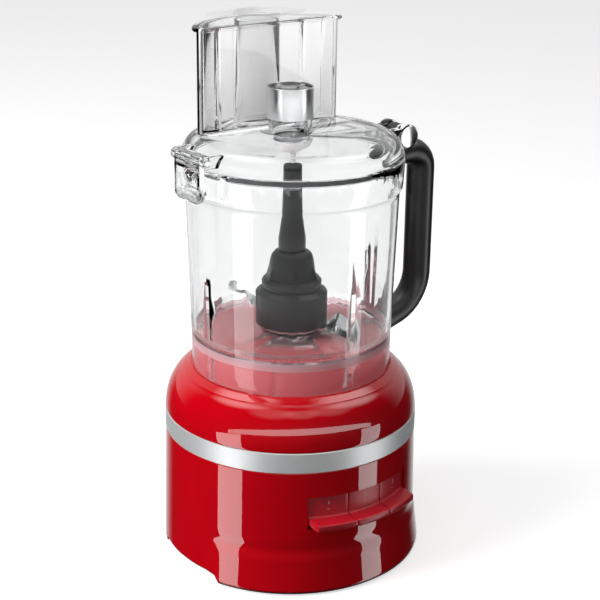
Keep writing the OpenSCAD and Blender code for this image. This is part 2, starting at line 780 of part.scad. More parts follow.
// centreline of the loop as [x, z, tangent angle, half thickness, half width]
top_x = grip_x - grip_top_corner;
top_z = hinge_z - 15.5;
start_z = ledge_z + 8;
low_z = bowl_z + 52.7;
bend = 70;
low_x = grip_x - grip_low_bend * (1 - cos(bend));
low_end_z = low_z - grip_low_bend * sin(bend);
grip_path = concat(
    [for (i = [0 : 5]) let (t = i / 5, p = bezier([pad_x, start_z], [hinge_x, top_z], [top_x, top_z], 5)[i])
        [p[0], p[1], 14 * (1 - t), 8.4 + (grip_a - 8) * t, 11 + (grip_b - 11) * t]],
    [for (i = [1 : 6]) let (a = 90 - 15 * i)
        [top_x + grip_top_corner * cos(a), top_z - grip_top_corner * (1 - sin(a)), a - 90,
         grip_a + 0.4 * (1 - i / 6), grip_b]],
    [for (i = [1 : 2]) [grip_x, top_z - grip_top_corner + (low_z - top_z + grip_top_corner) * i / 2,
        -90, grip_a, grip_b]],
    [for (i = [1 : 8]) let (a = -bend * i / 8)
        [grip_x - grip_low_bend * (1 - cos(a)), low_z + grip_low_bend * sin(a), a - 90,
         grip_a, grip_b]],
    [for (i = [1 : 2]) let (d = (low_x - low_pad_x) * i / 2)
        [low_x - d, low_end_z - d / tan(bend), -bend - 90, grip_a - 0.4 * i, grip_b - 0.8 * i]]);

// loft of ellipses along the centreline; the two ends are cut square to the bowl
module grip_loft(sides = 24) {
    last = len(grip_path) - 1;
    points = [for (k = [0 : last]) let (p = grip_path[k]) for (j = [0 : sides - 1])
        let (u = p[3] * cos(j * 360 / sides), v = -p[4] * sin(j * 360 / sides),
             a = (k == 0) ? 0 : (k == last) ? -180 : p[2])
        [p[0] - u * sin(a), v, p[1] + u * cos(a)]];
    polyhedron(points, tube_faces(sides, last), convexity = 6);
}

module handle_grip() {
    color(black) {
        difference() {
            grip_loft();
            rod_y(barrel_r + 0.8, barrel_half + 1.5, hinge_x, hinge_z);
        }
        difference() {
            union() {
                rod_y(barrel_r - 1.2, ear_half, hinge_x, hinge_z);
                translate([hinge_x - 8, -ear_half, top_z + 2]) cube([16, 2 * ear_half, hinge_z - top_z - 2]);
            }
            rod_y(hinge_pin_r + run, 20, hinge_x, hinge_z);
        }
    }
}

// ---------------------------------------------------------------- blade

module blade_hub() {
    color(black) difference() {
        union() {
            rotate_extrude() polygon([
                [0, hub_z], [hub_r - 0.6, hub_z], [hub_r, hub_z + 0.8], [hub_r, drum_hub_top - 0.6],
                [hub_r - 0.5, drum_hub_top], [hub_r - 4.2, drum_hub_top + 2.8],
                [hub_r - 6, drum_hub_top + 2.8], [hub_r - 6.2, flange_z], [hub_r - 5, flange_z + 1],
                [hub_r - 4.8, flange_z + 5], [hub_r - 6.4, flange_z + 6.6], [hub_r - 8, flange_z + 6.6],
                [hub_r - 9.6, dome_z + 1], [hub_r - 11.4, hub_top - 7.6], [hub_r - 12.6, hub_top - 3.6],
                [hub_r - 15, hub_top - 0.8], [hub_r - 17, hub_top], [0, hub_top]]);
            intersection() {
                translate([0, 0, flange_z + 3]) cylinder(r1 = hub_r - 5.2, r2 = hub_r - 9.4, h = 13, $fn = 6);
                translate([0, 0, flange_z + 3]) cylinder(r = hub_r - 6.4, h = 13);
            }
        }
        translate([0, 0, hub_z - 1]) cylinder(r = hub_cavity_r, h = hex_z - 0.6 - hub_z);
        translate([0, 0, hub_z]) cylinder(r = hex_r + 0.4, h = hex_top + 0.8 - hub_z, $fn = 6);
        translate([0, 0, hub_top - 5]) cylinder(r = shaft_r + 0.6, h = 10);
        rotate([0, 0, upper_angle]) translate([hub_cavity_r + 3, -tongue_w / 2 - fit, upper_z - fit])
            cube([20, tongue_w + 2 * fit, blade_t + 2 * fit]);
    }
}

module blade_stem() {
    color(black) difference() {
        translate([0, 0, hub_top]) rotate_extrude() polygon(concat(
            [[0, 0], [10.6, 0], [10.9, 0.6], [10.9, 9]],
            bezier([10.9, 11], [9, 22], [8.1, 33], 8),
            [[7.7, stem_h - 20], [7.5, stem_h - 3], [6.6, stem_h - 1.2], [6.2, stem_h], [0, stem_h]]));
        translate([0, 0, hub_top - 1]) cylinder(r = shaft_r + 0.6, h = stem_h - 14);
        translate([0, 0, stem_top - 4.4]) cylinder(r = hub_pin_r + 1.3, h = 10);
    }
}

// one swept, twisted and bevelled blade; its cutting edge stays level at height z
module blade_arm(z, r0, first) {
    n = 18;
    points = [for (i = [0 : n]) let (s = i / n, r = r0 + (blade_tip_r - r0) * s,
        a = first - 26 * pow(s, 1.6), w = blade_root_w * (1 - 0.62 * s),
        tilt = blade_twist * min(1, 5 * s) * (1 - 0.8 * s),
        c = [r * cos(a), r * sin(a)], side = [-sin(a), cos(a)])
        for (q = [[0, 0], [w, 0], [w, blade_t], [0.3 * w, blade_t]])
            let (u = q[0] * cos(tilt) - q[1] * sin(tilt) - blade_root_w / 2, v = q[0] * sin(tilt) + q[1] * cos(tilt))
            [c[0] + side[0] * u, c[1] + side[1] * u, z + v]];
    polyhedron(points, tube_faces(4, n), convexity = 4);
}

module lower_blade() {
    color(steel) {
        difference() {
            union() {
                translate([0, 0, hub_z - blade_t]) cylinder(r = hub_r - 2, h = blade_t);
                rotate([0, 0, blade_angle]) translate([0, -tongue_w / 2, hub_z - blade_t])
                    cube([hub_r + 2, tongue_w, blade_t]);
            }
            translate([0, 0, hub_z - 2 * blade_t]) cylinder(r = hub_cavity_r, h = 3 * blade_t);
        }
        blade_arm(hub_z - blade_t + 0.2, hub_r + 1, blade_angle);
    }
}

module upper_blade() {
    color(steel) {
        rotate([0, 0, upper_angle]) translate([hub_cavity_r + 3, -tongue_w / 2, upper_z])
            cube([hub_r - hub_cavity_r - 1, tongue_w, blade_t]);
        blade_arm(upper_z + 0.2, hub_r + 1, upper_angle);
    }
}

module hub_retainer() {
    color(black) ring(hub_r - 4, hub_cavity_r, hub_z - blade_t - 2.8, 2.8);
}

// ---------------------------------------------------------------- lid

// outline of the feed tube, drawn inwards by inset
module tube_outline(inset) {
    far = tube_r - inset;
    intersection() {
        circle(r = far, $fn = 180);
        polygon([[0, 0], [corner_x * 3, corner_y * 3], [0, far * 3], [-corner_x * 3, corner_y * 3]]);
        translate([-far, tube_front + inset]) square([2 * far, far]);
    }
    translate([-corner_x, tube_front + inset]) square([2 * corner_x, tube_corner - inset + eps]);
    for (side = [-1, 1]) translate([side * corner_x, corner_y]) circle(r = tube_corner - inset);
}

module lid_cover() {
    color(clear) difference() {
        union() {
            rotate_extrude() polygon(concat(
                [[plug_r, lid_z], [rim_r - 0.2, lid_z]],
                bezier([rim_r, lid_z + 0.8], [rim_r - 3, lid_top - 2], [lid_flat_r, lid_top], 9),
                [[0, lid_top], [0, lid_top - lid_wall]],
                bezier([lid_flat_r - 2, lid_top - lid_wall], [rim_r - 6.5, lid_top - lid_wall - 2],
                    [plug_r - 2.6, lid_z + 2], 6),
                [[plug_r - 2.6, rim_z - 6], [plug_r - 0.4, rim_z - 6], [plug_r, rim_z - 5.4]]));
            for (side = [-1, 1]) {
                rod_y_at(barrel_r, side, ear_half + 0.5, barrel_half, hinge_x, hinge_z);
                block_y(side, ear_half + 0.5, barrel_half, rim_r - 4, hinge_x, lid_z + 0.2, hinge_z + barrel_r - 3);
                rod_y_at(4.6, side, latch_half + 0.5, latch_half + 4.5, -latch_x, pivot_z);
                block_y(side, latch_half + 0.5, latch_half + 4.5, -latch_x, 8.5 - rim_r, pivot_z - 4.6, pivot_z + 4.6);
            }
            translate([0, turret_y, lid_top - lid_wall]) cylinder(r = sleeve_r - 1.4, h = lid_wall + turret_h);
            translate([0, turret_y, lid_top]) cylinder(r = sleeve_r - 2.4, h = turret_h + sleeve_h - 1);
        }
        rod_y(hinge_pin_r + fit, 20, hinge_x, hinge_z);
        rod_y(latch_pin_r + fit, 30, -latch_x, pivot_z);
        translate([0, 0, lid_top - lid_wall - 3]) linear_extrude(20) tube_outline(tube_wall);
        translate([0, turret_y, lid_top - lid_wall - 1]) cylinder(r = sleeve_r - 4.4, h = lid_wall + turret_h + sleeve_h - 2);
    }
}

module rod_y_at(r, side, y0, y1, x, z) {
    translate([x, side > 0 ? y1 : -y0, z]) rotate([90, 0, 0]) cylinder(r = r, h = y1 - y0);
}

module block_y(side, y0, y1, x0, x1, z0, z1) {
    translate([x0, side > 0 ? y0 : -y1, z0]) cube([x1 - x0, y1 - y0, z1 - z0]);
}

module lid_gasket() {
    color([0.75, 0.77, 0.78]) ring(plug_r + 0.9, plug_r, rim_z - 4.4, 3.6);
}

module feed_tube() {
    color(clear) {
        translate([0, 0, lid_top]) linear_extrude(tube_h - 3) difference() {
            tube_outline(0);
            tube_outline(tube_wall);
        }
        translate([0, 0, tube_top - 3]) linear_extrude(0.8) difference() {
            tube_outline(-lip + 0.8);
            tube_outline(tube_wall);
        }
        translate([0, 0, tube_top - 2.2]) linear_extrude(1.4) difference() {
            tube_outline(-lip);
            tube_outline(tube_wall);
        }
        translate([0, 0, tube_top - 0.8]) linear_extrude(0.8) difference() {
            tube_outline(-lip + 0.8);
            tube_outline(tube_wall);
        }
    }
}

module hub_sleeve() {
    color(steel) translate([0, turret_y, 0]) ring(sleeve_r, sleeve_r - 1.4 - eps, lid_top + turret_h, sleeve_h);
}

module hub_cone() {
    color(steel) rotate_extrude() polygon([[hub_pin_r + fit, cone_top - 9], [11.6, cone_top - 9],
        [12.6, cone_top - 8.4], [15.6, cone_top - 0.6], [15.2, cone_top], [13, cone_top],
        [13, lid_top - lid_wall], [hub_pin_r + fit, lid_top - lid_wall]]);
}

module hub_pin() {
    color(steel) translate([0, 0, stem_top - 3]) rotate_extrude() polygon([[0, 0], [hub_pin_r - 0.7, 0],
        [hub_pin_r, 0.7], [hub_pin_r, lid_top - lid_wall - stem_top + 3], [0, lid_top - lid_wall - stem_top + 3]]);
}

module hinge_pin() {
    color(steel) rod_y(hinge_pin_r, barrel_half, hinge_x, hinge_z);
}

module hinge_caps() {
    color(steel) for (side = [-1, 1]) rod_y_at(barrel_r - 1.4, side, barrel_half, barrel_half + 0.9, hinge_x, hinge_z);
}

module latch_pin() {
    color(steel) rod_y(latch_pin_r, latch_half + 4.5, -latch_x, pivot_z);
}

// outline of the latch plate seen from outside: rounded lower corners
module latch_outline() {
    low = pivot_z - latch_drop;
    corner = 6;
    translate([-latch_half, low + corner]) square([2 * latch_half, latch_drop - corner + 4.3]);
    translate([-latch_half + corner, low]) square([2 * (latch_half - corner), corner + 1]);
    for (side = [-1, 1]) translate([side * (latch_half - corner), low + corner]) circle(r = corner);
}

module latch_lever() {
    color(clear) difference() {
        union() {
            translate([-latch_x - latch_t, 0, 0]) rotate([90, 0, 90]) linear_extrude(latch_t) latch_outline();
            translate([-latch_x - latch_t, -latch_half, pivot_z - 3.6]) cube([latch_t + 4, 2 * latch_half, 7.9]);
            translate([-latch_x - 0.5, -10, catch_z - 3.8]) cube([latch_x - nose_x + 0.5, 20, 3.3]);
        }
        rod_y(latch_pin_r + run, 30, -latch_x, pivot_z);
        translate([-latch_x - latch_t - 1, -latch_half + 5, pivot_z - latch_drop + 9]) cube([2.2, 2 * latch_half - 10, 11]);
    }
}

// ---------------------------------------------------------------- pushers

// fluted outline of the large pusher
module pusher_outline(inset) {
    difference() {
        tube_outline(pusher_in + inset);
        for (side = [-1, 1]) translate([side * flute_x - flute_w / 2 - inset, tube_front])
            square([flute_w + 2 * inset, pusher_in + 6 + inset]);
    }
}

module large_pusher() {
    color(clear) difference() {
        translate([0, 0, pusher_z]) linear_extrude(pusher_top - pusher_z) pusher_outline(0);
        translate([0, 0, pusher_z + pusher_wall]) linear_extrude(tube_h) difference() {
            pusher_outline(pusher_wall);
            translate([0, well_y]) circle(r = well_r + pusher_wall);
        }
        translate([0, well_y, pusher_z - 1]) cylinder(r = well_r, h = tube_h);
    }
}

// pointed oval: length and width
module leaf(long, wide) {
    r = (pow(long, 2) + pow(wide, 2)) / (4 * wide);
    intersection() {
        translate([0, r - wide / 2]) circle(r = r);
        translate([0, wide / 2 - r]) circle(r = r);
    }
}

module pusher_cap() {
    color(clear) difference() {
        union() {
            translate([0, 0, pusher_top]) linear_extrude(cap_t) pusher_outline(0);
            translate([0, well_y, pusher_top]) cylinder(r = head_r + 2.2, h = head_top - pusher_top);
            translate([0, well_y, head_top - 2.4]) rotate([0, 0, -16]) linear_extrude(2.4) leaf(82, 27);
        }
        translate([0, well_y, pusher_top - 1]) cylinder(r = well_r, h = 8);
        translate([0, well_y, head_z - 0.4]) cylinder(r = head_r + seat, h = 8);
    }
}

module small_pusher() {
    color(clear) translate([0, well_y, 0]) rotate_extrude() polygon([
        [0, pusher_z + 1], [small_r - 0.8, pusher_z + 1], [small_r, pusher_z + 1.8], [small_r, head_z],
        [head_r - 0.6, head_z], [head_r, head_z + 0.6], [head_r, head_top - 0.6], [head_r - 0.6, head_top],
        [head_r - 2, head_top], [small_r - pusher_wall, head_z + 1], [small_r - pusher_wall, pusher_z + 3],
        [0, pusher_z + 3]]);
}

base_skirt();
base_top();
trim_band();
base_plate();
rubber_feet();
base_screws();
shaft_housing();
housing_screws();
upper_bearing();
lower_bearing();
shaft_seal();
drive_belt();
motor_can();
motor_stator();
motor_bushes();
motor_bracket();
control_board();
button_switches();
paddle_frame();
paddle_pin();
bowl_switch();
cord_gland();
drive_shaft();
drive_hex();
large_pulley();
motor_shaft();
motor_rotor();
motor_pulley();
cooling_fan();
paddle_low();
paddle_high();
paddle_pulse();
work_bowl();
handle_grip();
blade_hub();
blade_stem();
lower_blade();
upper_blade();
hub_retainer();
lid_cover();
lid_gasket();
feed_tube();
hub_sleeve();
hub_cone();
hub_pin();
hinge_pin();
hinge_caps();
latch_pin();
latch_lever();
large_pusher();
pusher_cap();
small_pusher();
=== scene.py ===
# %% [markdown]
# # A food processor, dressed in Blender
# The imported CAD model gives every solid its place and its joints. This lesson gives each surface
# its finish, rebuilds the forms that want smooth curves, and lights the whole as in a studio.

# %% Load the frame
import json
import math

import bmesh
import bpy
from mathutils import Matrix, Vector


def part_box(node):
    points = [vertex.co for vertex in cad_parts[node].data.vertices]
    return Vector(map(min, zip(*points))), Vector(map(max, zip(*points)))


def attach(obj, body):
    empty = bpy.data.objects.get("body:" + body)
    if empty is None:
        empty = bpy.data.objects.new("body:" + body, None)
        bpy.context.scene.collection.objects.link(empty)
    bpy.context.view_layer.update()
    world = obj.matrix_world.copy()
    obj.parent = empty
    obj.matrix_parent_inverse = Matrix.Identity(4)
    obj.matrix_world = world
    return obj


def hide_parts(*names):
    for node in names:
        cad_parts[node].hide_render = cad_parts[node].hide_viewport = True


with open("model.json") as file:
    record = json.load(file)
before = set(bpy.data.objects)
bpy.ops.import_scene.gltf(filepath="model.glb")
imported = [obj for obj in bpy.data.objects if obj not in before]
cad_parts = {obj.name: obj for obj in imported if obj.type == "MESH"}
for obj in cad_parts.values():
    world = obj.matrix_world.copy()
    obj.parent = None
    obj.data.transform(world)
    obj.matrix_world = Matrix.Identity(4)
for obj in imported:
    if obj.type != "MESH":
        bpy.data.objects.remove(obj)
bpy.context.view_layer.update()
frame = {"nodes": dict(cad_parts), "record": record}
MM = 0.001
NODES = frame["nodes"]

# %% [markdown]
# The camera is a long lens at a little over a metre, looking down by 20 degrees. A long lens keeps
# the tall bowl from spreading at its top, which is how product pictures are taken.

# %% Camera
LENS_MM = 87.546
CAMERA_PLACE = Vector((-0.6571, -0.8997, 0.6081))
CAMERA_TARGET = Vector((0.0056, -0.0041, 0.2099))
CAMERA_ROLL = math.radians(0.73)

scene = bpy.context.scene
camera_data = bpy.data.cameras.new("studio_camera")
camera_data.lens = LENS_MM
camera_data.sensor_width = 36
camera = bpy.data.objects.new("studio_camera", camera_data)
facing = (CAMERA_TARGET - CAMERA_PLACE).to_track_quat("-Z", "Y").to_matrix().to_4x4()
camera.matrix_world = Matrix.Translation(CAMERA_PLACE) @ facing @ Matrix.Rotation(CAMERA_ROLL, 4, "Z")
scene.collection.objects.link(camera)
scene.camera = camera
scene.view_settings.view_transform = "Standard"
print("camera distance", round((CAMERA_TARGET - CAMERA_PLACE).length, 3), "m")

# %% [markdown]
# Every material is a small tree of nodes. One helper adds a node with its settings and inputs, and
# one turns a colour as it is written on a colour chart (sRGB hex) into the linear numbers that
# light is computed with.

# %% Helpers for node trees
def linear(hex_colour):
    """Linear RGBA of an sRGB hex colour."""
    channels = [int(hex_colour[i:i + 2], 16) / 255 for i in (1, 3, 5)]
    return tuple(c / 12.92 if c <= 0.04045 else ((c + 0.055) / 1.055) ** 2.4 for c in channels) + (1,)


def add(tree, kind, inputs=None, **settings):
    """Adds one node. Each input is a number, a vector, a colour or a socket to link."""
    node = tree.nodes.new(kind)
    for name, value in settings.items():
        setattr(node, name, value)
    for name, value in (inputs or {}).items():
        if isinstance(value, bpy.types.NodeSocket):
            tree.links.new(value, node.inputs[name])
        else:
            node.inputs[name].default_value = value
    return node


def new_material(name):
    """An empty material and its node tree."""
    material = bpy.data.materials.new(name)
    material.use_nodes = True
    material.node_tree.nodes.clear()
    return material, material.node_tree


def show(tree, shader):
    """Ends a material's tree."""
    add(tree, "ShaderNodeOutputMaterial", {"Surface": shader.outputs[0]})


def grains(tree, size_mm, detail=2.0, stretch=(1, 1, 1)):
    """Noise whose grains are size_mm apart on the piece."""
    place = add(tree, "ShaderNodeTexCoord")
    turned = add(tree, "ShaderNodeMapping", {"Vector": place.outputs["Object"], "Scale": stretch})
    return add(tree, "ShaderNodeTexNoise", {"Vector": turned.outputs["Vector"], "Scale": 1 / (size_mm * MM),
                                            "Detail": detail}).outputs["Fac"]


print("red lacquer in linear light:", [round(c, 3) for c in linear("#CA0010")])

# %% [markdown]
# The housing is ABS with a high-gloss red lacquer. The coloured base reflects light softly and the
# clear coat over it mirrors the lamps sharply, so the material has both. Noise some centimetres
# across makes the coat a little wavy, as sprayed lacquer is.

# %% Red lacquer
red_lacquer, tree = new_material("gloss_red_lacquer")
waves = grains(tree, 30, detail=1.0)
tint = add(tree, "ShaderNodeMix", {0: waves, 6: linear("#CA0010"), 7: linear("#D40016")}, data_type="RGBA")
wavy = add(tree, "ShaderNodeBump", {"Height": waves, "Distance": 0.03 * MM})
show(tree, add(tree, "ShaderNodeBsdfPrincipled", {
    "Base Color": tint.outputs[2], "Roughness": 0.42, "Specular IOR Level": 0.05, "Coat Weight": 1.0,
    "Coat Roughness": 0.015, "Coat IOR": 1.5, "Coat Normal": wavy.outputs["Normal"]}))

# %% [markdown]
# The belt round the housing is a metallised strip with a satin lacquer. The lacquer scatters part
# of the light, so the material is only partly metal, and its roughness spreads what it mirrors.
# Brushing round the housing shows as faint lines, drawn coarser than the real 0.1 mm.

# %% Satin band
satin_band, tree = new_material("satin_metallised_strip")
brushing = grains(tree, 0.5, stretch=(0.12, 0.12, 1))
silver = add(tree, "ShaderNodeMix", {0: brushing, 6: linear("#DDDFE0"), 7: linear("#E8EAEB")},
             data_type="RGBA")
lines = add(tree, "ShaderNodeBump", {"Height": brushing, "Distance": 0.01 * MM})
show(tree, add(tree, "ShaderNodeBsdfPrincipled", {
    "Base Color": silver.outputs[2], "Metallic": 0.45, "Roughness": 0.5, "Normal": lines.outputs["Normal"]}))

# %% [markdown]
# The bowl, lid, feed tube and pushers are clear copolyester, moulded and polished. It is a glass to
# the renderer, and light rays from the lamps pass it straight, as the eye expects of a thin wall.
# The real index is near 1.55. A lower one is used, because it keeps the walls light where several
# stand behind each other. The small pusher stands behind so many walls that refraction through all
# of them would end black, so it has a see-through skin with a faint gloss instead.

# %% Clear copolyester
def clear_plastic(name, tone, roughness, passes, haze=0.0, index=1.36):
    """passes is the share of lamp light let through, haze the share that the plastic scatters."""
    material, tree = new_material(name)
    flow = grains(tree, 45, detail=0.0)
    moulded = add(tree, "ShaderNodeBump", {"Height": flow, "Distance": 0.02 * MM})
    glass = add(tree, "ShaderNodeBsdfPrincipled", {
        "Base Color": linear(tone), "Roughness": roughness, "IOR": index, "Transmission Weight": 1.0 - haze,
        "Normal": moulded.outputs["Normal"]})
    straight = add(tree, "ShaderNodeBsdfTransparent", {"Color": (passes, passes, passes, 1)})
    path = add(tree, "ShaderNodeLightPath")
    show(tree, add(tree, "ShaderNodeMixShader", {0: path.outputs["Is Shadow Ray"], 1: glass.outputs[0],
                                                 2: straight.outputs[0]}))
    return material


WALL_PASSES = 0.95
clear = clear_plastic("clear_copolyester", "#F5F6F6", 0.0, WALL_PASSES)
tube_clear = clear_plastic("clear_copolyester_tube", "#FDFDFD", 0.0, WALL_PASSES, index=1.3)
thin_clear, tree = new_material("clear_copolyester_thin_cup")
show(tree, add(tree, "ShaderNodeBsdfPrincipled", {
    "Base Color": linear("#E9EBEB"), "Roughness": 0.04, "IOR": 1.5, "Alpha": 0.12}))
# The pink tones of these two plastics are painted light: they stand in for the red housing's glow seen
# through the bowl's foot.
hazy_with_painted_pink = clear_plastic("hazy_copolyester_with_painted_pink", "#F8CBD1", 0.10, 0.85, haze=0.18)
milky_with_painted_pink = clear_plastic("milky_copolyester_edge_with_painted_pink", "#FBD3DA", 0.22, 0.7, haze=0.6)
print("clear plastic passes lamp light by", WALL_PASSES, "at each side of a wall")

# %% [markdown]
# The handle and the blade hub are black moulded plastic with a fine spark-eroded grain. The grain
# scatters light, so the black looks matte with soft edges of light and no mirror image.

# %% Grained plastics
def grained(name, tone, light_tone, roughness, size_mm, depth_mm, **more):
    material, tree = new_material(name)
    grit = grains(tree, size_mm)
    shade = add(tree, "ShaderNodeMix", {0: grit, 6: linear(tone), 7: linear(light_tone)}, data_type="RGBA")
    relief = add(tree, "ShaderNodeBump", {"Height": grit, "Distance": depth_mm * MM})
    show(tree, add(tree, "ShaderNodeBsdfPrincipled", {
        "Base Color": shade.outputs[2], "Roughness": roughness, "Normal": relief.outputs["Normal"],
        **{key.replace("_", " "): value for key, value in more.items()}}))
    return material


black_grained = grained("black_grained_nylon", "#141415", "#1D1D1F", 0.42, 0.9, 0.004)
satin_red = grained("satin_red_abs", "#C20A20", "#CC1028", 0.38, 0.8, 0.002)
hub_plastic = grained("black_satin_acetal", "#19191B", "#1C1C1E", 0.34, 6.0, 0.001, Specular_IOR_Level=0.32)
rubber = grained("black_rubber", "#0E0E0F", "#161616", 0.8, 0.6, 0.03)
seal_rubber = grained("grey_silicone", "#4E5153", "#585B5D", 0.55, 1.0, 0.01)

# %% [markdown]
# The metals differ in how they were made: blades are polished stainless steel with a fine grind,
# castings are dull zinc, and stampings are aluminium. The sleeve on the lid is chrome plated over a
# turned tube. Its mirror image is drawn out along the axis, so it shows as upright stripes.

# %% Metals
steel = grained("ground_stainless_steel", "#C4C5C6", "#D2D3D4", 0.22, 0.5, 0.01, Metallic=1.0)
chrome = grained("bright_chrome_plate", "#ECEDEE", "#F1F2F3", 0.32, 25, 0.01, Metallic=1.0, Anisotropic=0.95,
                 Anisotropic_Rotation=0.25)
round_axis = add(chrome.node_tree, "ShaderNodeTangent", direction_type="RADIAL", axis="Z")
chrome.node_tree.links.new(round_axis.outputs[0], chrome.node_tree.nodes["Principled BSDF"].inputs["Tangent"])
zinc = grained("cast_zinc", "#8D8F91", "#A0A2A4", 0.5, 1.5, 0.03, Metallic=0.9)
aluminium = grained("stamped_aluminium", "#B7B9BB", "#C4C6C8", 0.38, 1.0, 0.02, Metallic=1.0)
bronze = grained("sintered_bronze", "#8A6A3A", "#A07C46", 0.45, 0.8, 0.03, Metallic=1.0)
board = grained("green_solder_mask", "#0B4A2A", "#115A34", 0.3, 3.0, 0.02)

MATERIAL_OF = {
    red_lacquer: ("base_skirt base_top", "red_gloss"),
    satin_red: ("paddle_low paddle_high paddle_pulse", "red_gloss"),
    satin_band: ("trim_band", "satin_band"),
    clear: ("work_bowl lid_cover latch_lever", "clear"),
    tube_clear: ("feed_tube large_pusher", "clear"),
    thin_clear: ("pusher_cap small_pusher", "clear"),
    black_grained: ("handle_grip base_plate paddle_frame bowl_switch cord_gland cooling_fan", "black_soft"),
    hub_plastic: ("blade_hub blade_stem hub_retainer drive_hex", "black_soft"),
    rubber: ("rubber_feet shaft_seal drive_belt", "rubber"),
    steel: ("lower_blade upper_blade drive_shaft motor_shaft paddle_pin hub_pin hinge_pin latch_pin "
            "base_screws housing_screws upper_bearing lower_bearing", "steel"),
    chrome: ("hub_sleeve hub_cone hinge_caps", "chrome"),
    zinc: ("shaft_housing motor_bracket motor_rotor button_switches", "zinc"),
    aluminium: ("large_pulley motor_pulley motor_can", "aluminium"),
    bronze: ("motor_bushes motor_stator", "bronze"),
    board: ("control_board", "board"),
    seal_rubber: ("lid_gasket", "gasket"),
}
for material, (names, _) in MATERIAL_OF.items():
    for name in names.split():
        NODES[name].data.materials.clear()
        NODES[name].data.materials.append(material)
bare = sorted(set(NODES) - set(" ".join(names for names, _ in MATERIAL_OF.values()).split()))
print("nodes without a finish:", bare)

# %% [markdown]
# Most of this object is turned work: the housing, the bowl and the hub are round about one axis.
# A lathe is built once as Geometry Nodes: it takes a closed outline in the plane, as a wire, and
# sweeps it round a circle. Corners of an outline are rounded first, because every moulded edge has
# a small radius, and that radius is what catches the light.

# %% The lathe
def new_mesh(name, points, faces, material=None, edges=()):
    """A mesh object at the origin, with its place in its points."""
    mesh = bpy.data.meshes.new(name)
    mesh.from_pydata([tuple(p) for p in points], list(edges), faces)
    if material:
        mesh.materials.append(material)
    thing = bpy.data.objects.new(name, mesh)
    scene.collection.objects.link(thing)
    return thing


def node_group(name, sockets):
    """An empty Geometry Nodes tree with its ends. sockets are (name, kind, value) of its inputs."""
    tree = bpy.data.node_groups.new(name, "GeometryNodeTree")
    tree.interface.new_socket("Geometry", in_out="INPUT", socket_type="NodeSocketGeometry")
    for label, kind, value in sockets:
        socket = tree.interface.new_socket(label, in_out="INPUT", socket_type=kind)
        if value is not None:
            socket.default_value = value
    tree.interface.new_socket("Geometry", in_out="OUTPUT", socket_type="NodeSocketGeometry")
    return tree, tree.nodes.new("NodeGroupInput"), tree.nodes.new("NodeGroupOutput")


def grow(thing, tree, **values):
    """Runs a tree on a piece and keeps the result as its plain mesh."""
    modifier = thing.modifiers.new(tree.name, "NODES")
    modifier.node_group = tree
    inputs = {item.name: item.identifier for item in tree.interface.items_tree if item.in_out == "INPUT"}
    for label, value in values.items():
        modifier[inputs[label]] = value
    return plain(thing)


def plain(thing):
    """Applies a piece's modifiers, turns its faces outwards and shades it smooth up to 35 degrees."""
    made = bpy.data.meshes.new_from_object(thing.evaluated_get(bpy.context.evaluated_depsgraph_get()))
    thing.modifiers.clear()
    thing.data = made
    shell = bmesh.new()
    shell.from_mesh(made)
    bmesh.ops.remove_doubles(shell, verts=shell.verts, dist=0.002 * MM)
    bmesh.ops.recalc_face_normals(shell, faces=shell.faces)
    shell.to_mesh(made)
    shell.free()
    made.shade_smooth()
    made.set_sharp_from_angle(angle=math.radians(35))
    return thing


AXIS_RADIUS = 1 * MM    # the circle that the lathe sweeps along
lathe, group_in, group_out = node_group("lathe", [("Steps", "NodeSocketInt", 192),
                                                  ("Material", "NodeSocketMaterial", None)])
wire = add(lathe, "GeometryNodeMeshToCurve", {"Mesh": group_in.outputs["Geometry"]})
circle = add(lathe, "GeometryNodeCurvePrimitiveCircle", {"Resolution": group_in.outputs["Steps"],
                                                         "Radius": AXIS_RADIUS})
swept = add(lathe, "GeometryNodeCurveToMesh", {"Curve": circle.outputs["Curve"],
                                                "Profile Curve": wire.outputs[0]})
real = add(lathe, "GeometryNodeRealizeInstances", {0: swept.outputs[0]})
coated = add(lathe, "GeometryNodeSetMaterial", {"Geometry": real.outputs[0],
                                                 "Material": group_in.outputs["Material"]})
lathe.links.new(coated.outputs[0], group_out.inputs[0])


def rounded(corners, steps=5):
    """Points of a closed outline in millimetres. A corner is (radius, height) or (radius, height, fillet)."""
    points = []
    for i, corner in enumerate(corners):
        here = Vector(corner[:2])
        fillet = corner[2] if len(corner) > 2 else 0
        back = Vector(corners[i - 1][:2]) - here
        ahead = Vector(corners[(i + 1) % len(corners)][:2]) - here
        if not fillet or back.length < 1e-6 or ahead.length < 1e-6:
            points.append(here)
            continue
        half = back.angle(ahead) / 2
        run = min(fillet / math.tan(half), 0.49 * back.length, 0.49 * ahead.length)
        start, end = here + back.normalized() * run, here + ahead.normalized() * run
        for k in range(steps + 1):
            t = k / steps
            points.append((1 - t) ** 2 * start + 2 * t * (1 - t) * here + t * t * end)
    return points


def turned(name, outline, material, steps=192):
    """A piece turned about the drive axis from a closed outline in millimetres."""
    count = len(outline)
    wire = [(p[0] * MM - AXIS_RADIUS, -p[1] * MM, 0) for p in outline]
    thing = new_mesh(name, wire, [], edges=[(i, (i + 1) % count) for i in range(count)])
    return grow(thing, lathe, Steps=steps, Material=material)


def ellipse(centre, rx, ry, a0, a1, steps):
    return [(centre[0] + rx * math.cos(math.radians(a0 + (a1 - a0) * i / steps)),
             centre[1] + ry * math.sin(math.radians(a0 + (a1 - a0) * i / steps))) for i in range(steps + 1)]


print("lathe of", len(lathe.nodes), "nodes")

# %% [markdown]
# The upper housing is a quarter of an ellipse that runs up to a sloping edge and a flat deck, with
# the drum in the middle that the bowl's skirt stands round. One outline holds the outside and the
# inside, so the wall is closed.

